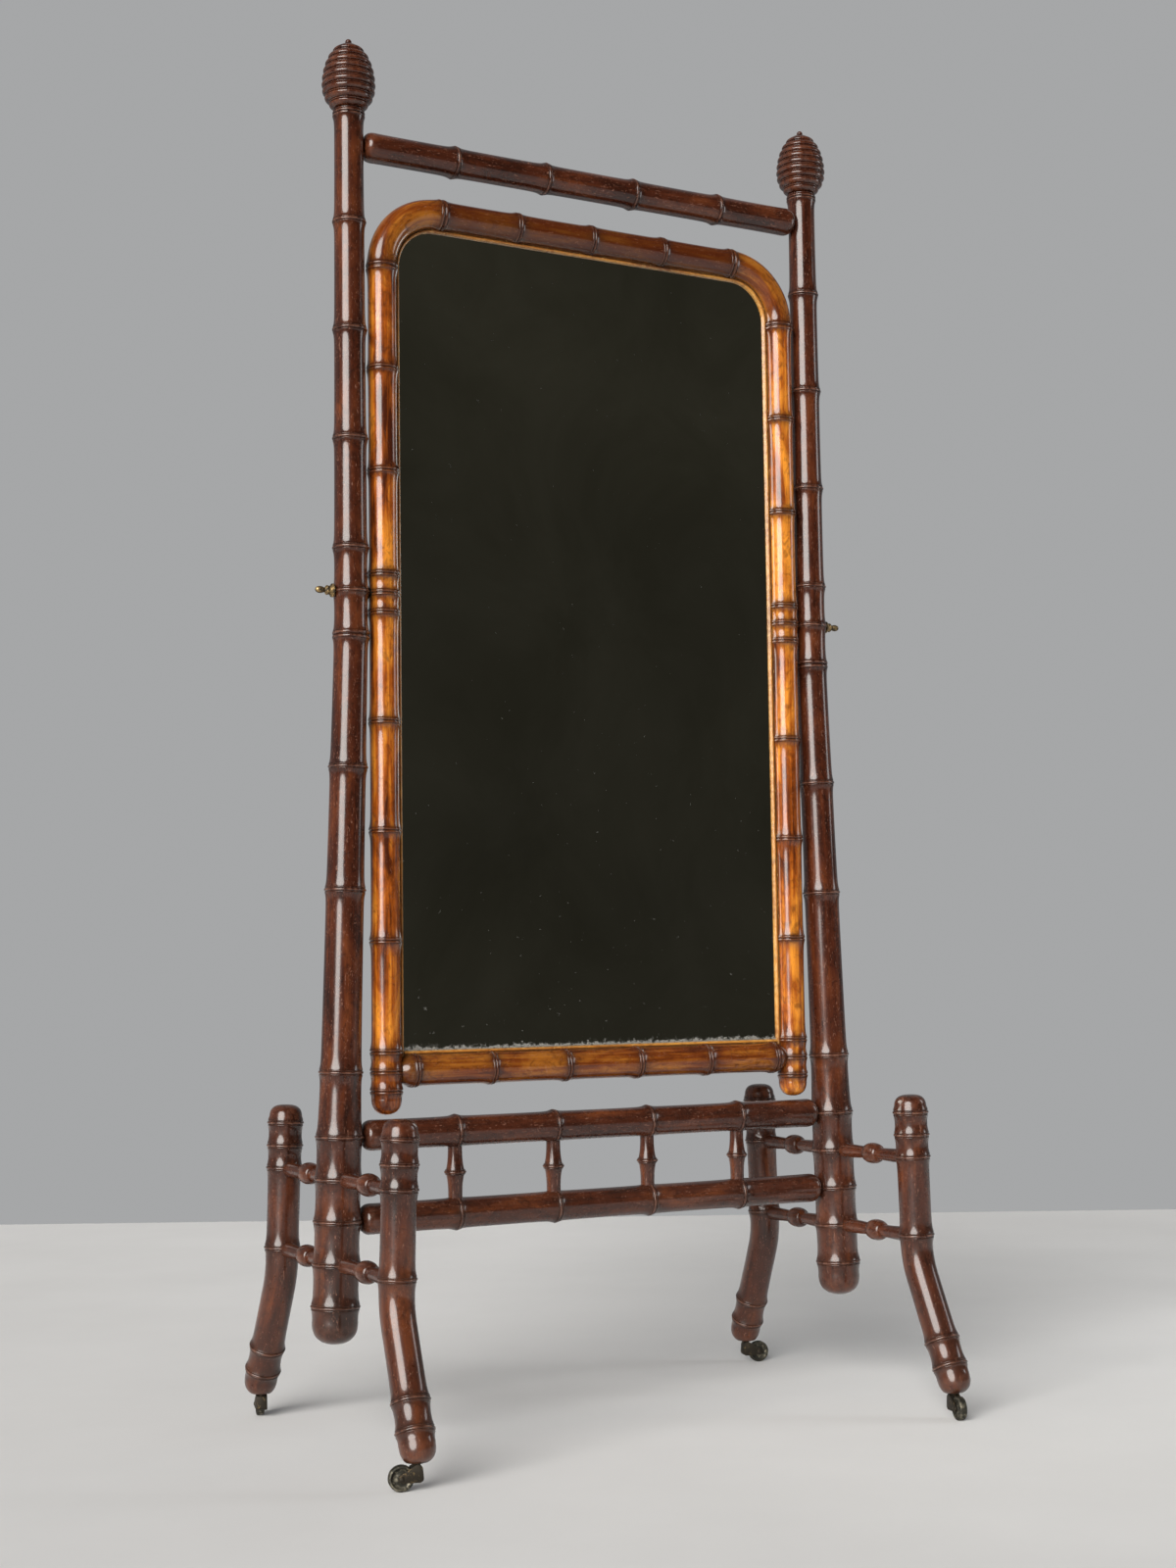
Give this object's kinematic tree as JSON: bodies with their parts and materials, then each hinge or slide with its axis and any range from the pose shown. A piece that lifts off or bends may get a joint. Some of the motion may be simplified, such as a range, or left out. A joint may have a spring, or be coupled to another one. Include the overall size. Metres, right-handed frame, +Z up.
{
  "type": "cheval mirror",
  "caption": "Full-length dressing mirror tilting between two turned imitation-bamboo posts with beehive finials, on bent legs tied by spindles, with small castors.",
  "frame": {"origin": "on the floor, under the middle of the mirror's stand", "axes": "+Z up; X along the top rail from the left post to the right one, seen from the front; the glass faces -Y, so +Y is the back"},
  "size_m": [0.857, 0.5768, 1.85],
  "materials": {
    "stand_wood": "dark red-brown French polish, glossy, rubbed at the edges",
    "frame_wood": "honey-brown polished figured wood with dark mottling",
    "slip_wood": "golden polished wood",
    "board_wood": "plain unpolished wood",
    "mirror_glass": "old silvered plate glass with fine specks",
    "brass": "aged brass, dull and darkened",
    "castor_wheel": "aged brass, worn bright on the tread"
  },
  "bodies": {
    "stand": {"top_rail": "stand_wood", "upper_stretcher": "stand_wood", "lower_stretcher": "stand_wood", "stretcher_balusters": "stand_wood", "finials": "stand_wood", "castor_sockets": "brass", "lower_post_left": "stand_wood", "upper_post_left": "stand_wood", "leg_spindles_left": "stand_wood", "leg_front_left": "stand_wood", "leg_rear_left": "stand_wood", "lower_post_right": "stand_wood", "upper_post_right": "stand_wood", "leg_spindles_right": "stand_wood", "leg_front_right": "stand_wood", "leg_rear_right": "stand_wood"},
    "mirror": {"stile_left": "frame_wood", "stile_right": "frame_wood", "frame_corners": "frame_wood", "frame_top_rail": "frame_wood", "frame_bottom_rail": "frame_wood", "slip_left": "slip_wood", "slip_right": "slip_wood", "slip_top": "slip_wood", "slip_bottom": "slip_wood", "glass": "mirror_glass", "back_board": "board_wood", "pivot_bushes": "brass"},
    "pivot_screw_left": {"pivot_screw_left": "brass"},
    "pivot_screw_right": {"pivot_screw_right": "brass"},
    "castor_horn_front_left": {"castor_horn_front_left": "brass", "castor_axle_front_left": "brass"},
    "castor_wheel_front_left": {"castor_wheel_front_left": "castor_wheel"},
    "castor_horn_rear_left": {"castor_horn_rear_left": "brass", "castor_axle_rear_left": "brass"},
    "castor_wheel_rear_left": {"castor_wheel_rear_left": "castor_wheel"},
    "castor_horn_front_right": {"castor_horn_front_right": "brass", "castor_axle_front_right": "brass"},
    "castor_wheel_front_right": {"castor_wheel_front_right": "castor_wheel"},
    "castor_horn_rear_right": {"castor_horn_rear_right": "brass", "castor_axle_rear_right": "brass"},
    "castor_wheel_rear_right": {"castor_wheel_rear_right": "castor_wheel"}
  },
  "joints": [
    {"name": "mirror_tilt", "type": "hinge", "parent": "stand", "child": "mirror", "pos_m": [0, 0, 1.102], "axis": [1, 0, 0], "range_deg": [-175, 175]},
    {"name": "pivot_screw_left_turn", "type": "hinge", "parent": "stand", "child": "pivot_screw_left", "pos_m": [-0.3866, 0, 1.102], "axis": [-1, 0, 0], "range_deg": [0, 360]},
    {"name": "pivot_screw_right_turn", "type": "hinge", "parent": "stand", "child": "pivot_screw_right", "pos_m": [0.3866, 0, 1.102], "axis": [1, 0, 0], "range_deg": [0, 360]},
    {"name": "castor_swivel_front_left", "type": "hinge", "parent": "stand", "child": "castor_horn_front_left", "pos_m": [-0.39413, -0.254, 0.032], "axis": [0, 0, 1], "continuous": true},
    {"name": "castor_roll_front_left", "type": "hinge", "parent": "castor_horn_front_left", "child": "castor_wheel_front_left", "pos_m": [-0.41249, -0.24908, 0.0155], "axis": [-0.2588, -0.9659, 0], "continuous": true},
    {"name": "castor_swivel_rear_left", "type": "hinge", "parent": "stand", "child": "castor_horn_rear_left", "pos_m": [-0.39413, 0.254, 0.032], "axis": [0, 0, 1], "continuous": true},
    {"name": "castor_roll_rear_left", "type": "hinge", "parent": "castor_horn_rear_left", "child": "castor_wheel_rear_left", "pos_m": [-0.38922, 0.27235, 0.0155], "axis": [-0.9659, 0.2588, 0], "continuous": true},
    {"name": "castor_swivel_front_right", "type": "hinge", "parent": "stand", "child": "castor_horn_front_right", "pos_m": [0.39413, -0.254, 0.032], "axis": [0, 0, 1], "continuous": true},
    {"name": "castor_roll_front_right", "type": "hinge", "parent": "castor_horn_front_right", "child": "castor_wheel_front_right", "pos_m": [0.38922, -0.27235, 0.0155], "axis": [0.9659, -0.2588, 0], "continuous": true},
    {"name": "castor_swivel_rear_right", "type": "hinge", "parent": "stand", "child": "castor_horn_rear_right", "pos_m": [0.39413, 0.254, 0.032], "axis": [0, 0, 1], "continuous": true},
    {"name": "castor_roll_rear_right", "type": "hinge", "parent": "castor_horn_rear_right", "child": "castor_wheel_rear_right", "pos_m": [0.41249, 0.24908, 0.0155], "axis": [0.2588, 0.9659, 0], "continuous": true}
  ]
}
